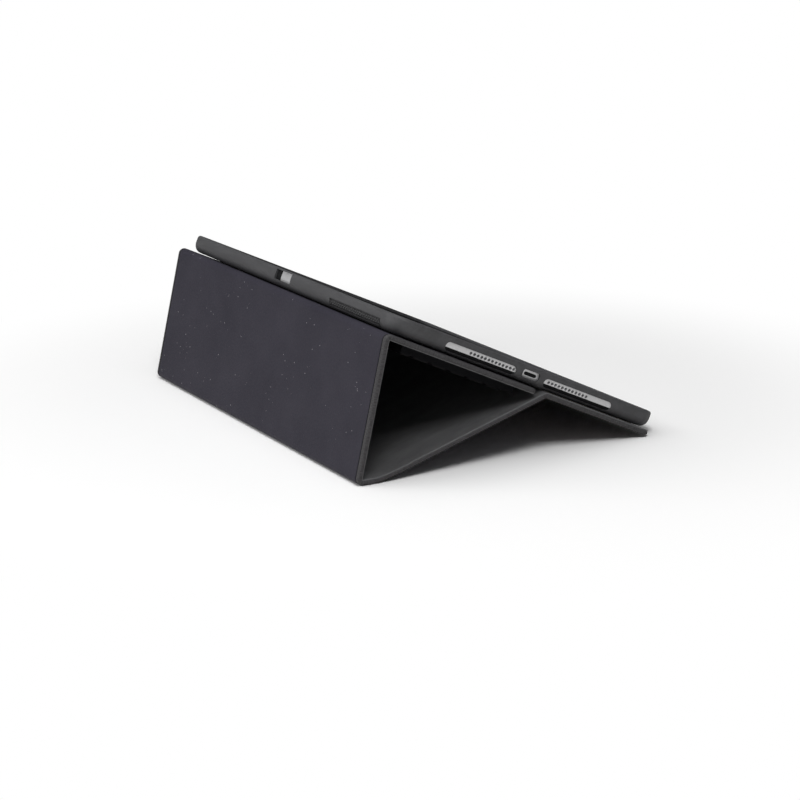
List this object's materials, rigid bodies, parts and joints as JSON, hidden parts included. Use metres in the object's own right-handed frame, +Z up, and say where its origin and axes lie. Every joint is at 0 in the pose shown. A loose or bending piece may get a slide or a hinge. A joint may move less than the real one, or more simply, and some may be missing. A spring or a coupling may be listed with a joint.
{
  "type": "tablet keyboard case",
  "caption": "Folio case with a hard tray for a tablet and hinged soft panels, one carrying a thin keyboard, folded back into a low wedge-shaped reading stand.",
  "frame": {"origin": "centre of the bounding box's footprint, on the surface that the folded stand rests on", "axes": "+Z up, X along the long edges, -Y the front where the tray's low edge is, +Y the rear where the spine and the upright rear panel are"},
  "size_m": [0.247, 0.1806, 0.0824],
  "materials": {
    "tray_plastic": "matte moulded polycarbonate",
    "grip_rubber": "knurled rubber",
    "screen_metal": "perforated satin metal",
    "adhesive": "adhesive foil",
    "outer_skin": "matte polyurethane leather",
    "panel_board": "stiff fibre board",
    "soft_lining": "brushed microfibre",
    "magnet": "nickel-plated magnet",
    "keyboard_plastic": "fine matte texture",
    "key_plastic": "satin keycap plastic",
    "cell_foil": "foil pouch",
    "circuit": "solder mask",
    "socket_metal": "plated shell",
    "plate_steel": "thin sheet",
    "membrane_film": "printed film",
    "light_pipe": "clear light pipe"
  },
  "bodies": {
    "spine": {"spine_skin": "outer_skin", "spine_board": "panel_board", "spine_lining": "soft_lining", "spine_front_fold": "outer_skin", "spine_rear_fold": "outer_skin"},
    "leg": {"leg_skin": "outer_skin", "leg_board": "panel_board", "leg_lining": "soft_lining", "crest_fold": "outer_skin"},
    "tray": {"tray_shell": "tray_plastic", "grip_insert": "grip_rubber", "speaker_screens": "screen_metal", "bond_sheet": "adhesive", "base_skin": "outer_skin", "base_board": "panel_board", "base_lining": "soft_lining"},
    "rear_panel": {"rear_skin": "outer_skin", "rear_board": "panel_board", "rear_lining": "soft_lining", "stand_magnets": "magnet", "top_fold": "outer_skin"},
    "keyboard_panel": {"key_panel_skin": "outer_skin", "key_panel_board": "panel_board", "key_panel_lining": "soft_lining", "latch_magnets": "magnet", "keyboard_base": "keyboard_plastic", "battery": "cell_foil", "circuit_board": "circuit", "charge_socket": "socket_metal", "support_plate": "plate_steel", "switch_membrane": "membrane_film", "key_frame": "keyboard_plastic", "status_lights": "light_pipe"},
    "power_slider": {"power_switch": "key_plastic"},
    "function_keys": {"function_keys": "key_plastic"},
    "number_keys": {"number_keys": "key_plastic"},
    "upper_keys": {"upper_keys": "key_plastic"},
    "home_keys": {"home_keys": "key_plastic"},
    "lower_keys": {"lower_keys": "key_plastic"},
    "space_keys": {"space_keys": "key_plastic"}
  },
  "joints": [
    {"name": "spine_rear_hinge", "type": "hinge", "parent": "spine", "child": "rear_panel", "pos_m": [0, 0.08698, 0.0033], "axis": [-1, 0, 0], "range_deg": [0, 64]},
    {"name": "spine_front_hinge", "type": "hinge", "parent": "spine", "child": "leg", "pos_m": [0, 0.07598, 0.0033], "axis": [1, 0, 0], "range_deg": [0, 5.35]},
    {"name": "crest_hinge", "type": "hinge", "parent": "leg", "child": "tray", "pos_m": [0, -0.01915, 0.0291], "axis": [-1, 0, 0], "range_deg": [0, 13.73]},
    {"name": "top_hinge", "type": "hinge", "parent": "rear_panel", "child": "keyboard_panel", "pos_m": [0, 0.07111, 0.07097], "axis": [1, 0, 0], "range_deg": [0, 56.48]},
    {"name": "power_slide", "type": "slide", "parent": "keyboard_panel", "child": "power_slider", "axis": [1, 0, 0], "range_m": [0, 0.003]},
    {"name": "function_press", "type": "slide", "parent": "keyboard_panel", "child": "function_keys", "axis": [0, -0.4226, 0.9063], "range_m": [0, 0.0008], "stiffness_N_per_m": 400, "springref_m": -0.0015},
    {"name": "number_press", "type": "slide", "parent": "keyboard_panel", "child": "number_keys", "axis": [0, -0.4226, 0.9063], "range_m": [0, 0.0008], "stiffness_N_per_m": 400, "springref_m": -0.0015},
    {"name": "upper_press", "type": "slide", "parent": "keyboard_panel", "child": "upper_keys", "axis": [0, -0.4226, 0.9063], "range_m": [0, 0.0008], "stiffness_N_per_m": 400, "springref_m": -0.0015},
    {"name": "home_press", "type": "slide", "parent": "keyboard_panel", "child": "home_keys", "axis": [0, -0.4226, 0.9063], "range_m": [0, 0.0008], "stiffness_N_per_m": 400, "springref_m": -0.0015},
    {"name": "lower_press", "type": "slide", "parent": "keyboard_panel", "child": "lower_keys", "axis": [0, -0.4226, 0.9063], "range_m": [0, 0.0008], "stiffness_N_per_m": 400, "springref_m": -0.0015},
    {"name": "space_press", "type": "slide", "parent": "keyboard_panel", "child": "space_keys", "axis": [0, -0.4226, 0.9063], "range_m": [0, 0.0008], "stiffness_N_per_m": 400, "springref_m": -0.0015}
  ],
  "couplings": [
    {"joint": "spine_front_hinge", "follows": "spine_rear_hinge", "ratio": 0.0828},
    {"joint": "crest_hinge", "follows": "spine_rear_hinge", "ratio": 0.2138},
    {"joint": "top_hinge", "follows": "spine_rear_hinge", "ratio": 0.8817}
  ]
}
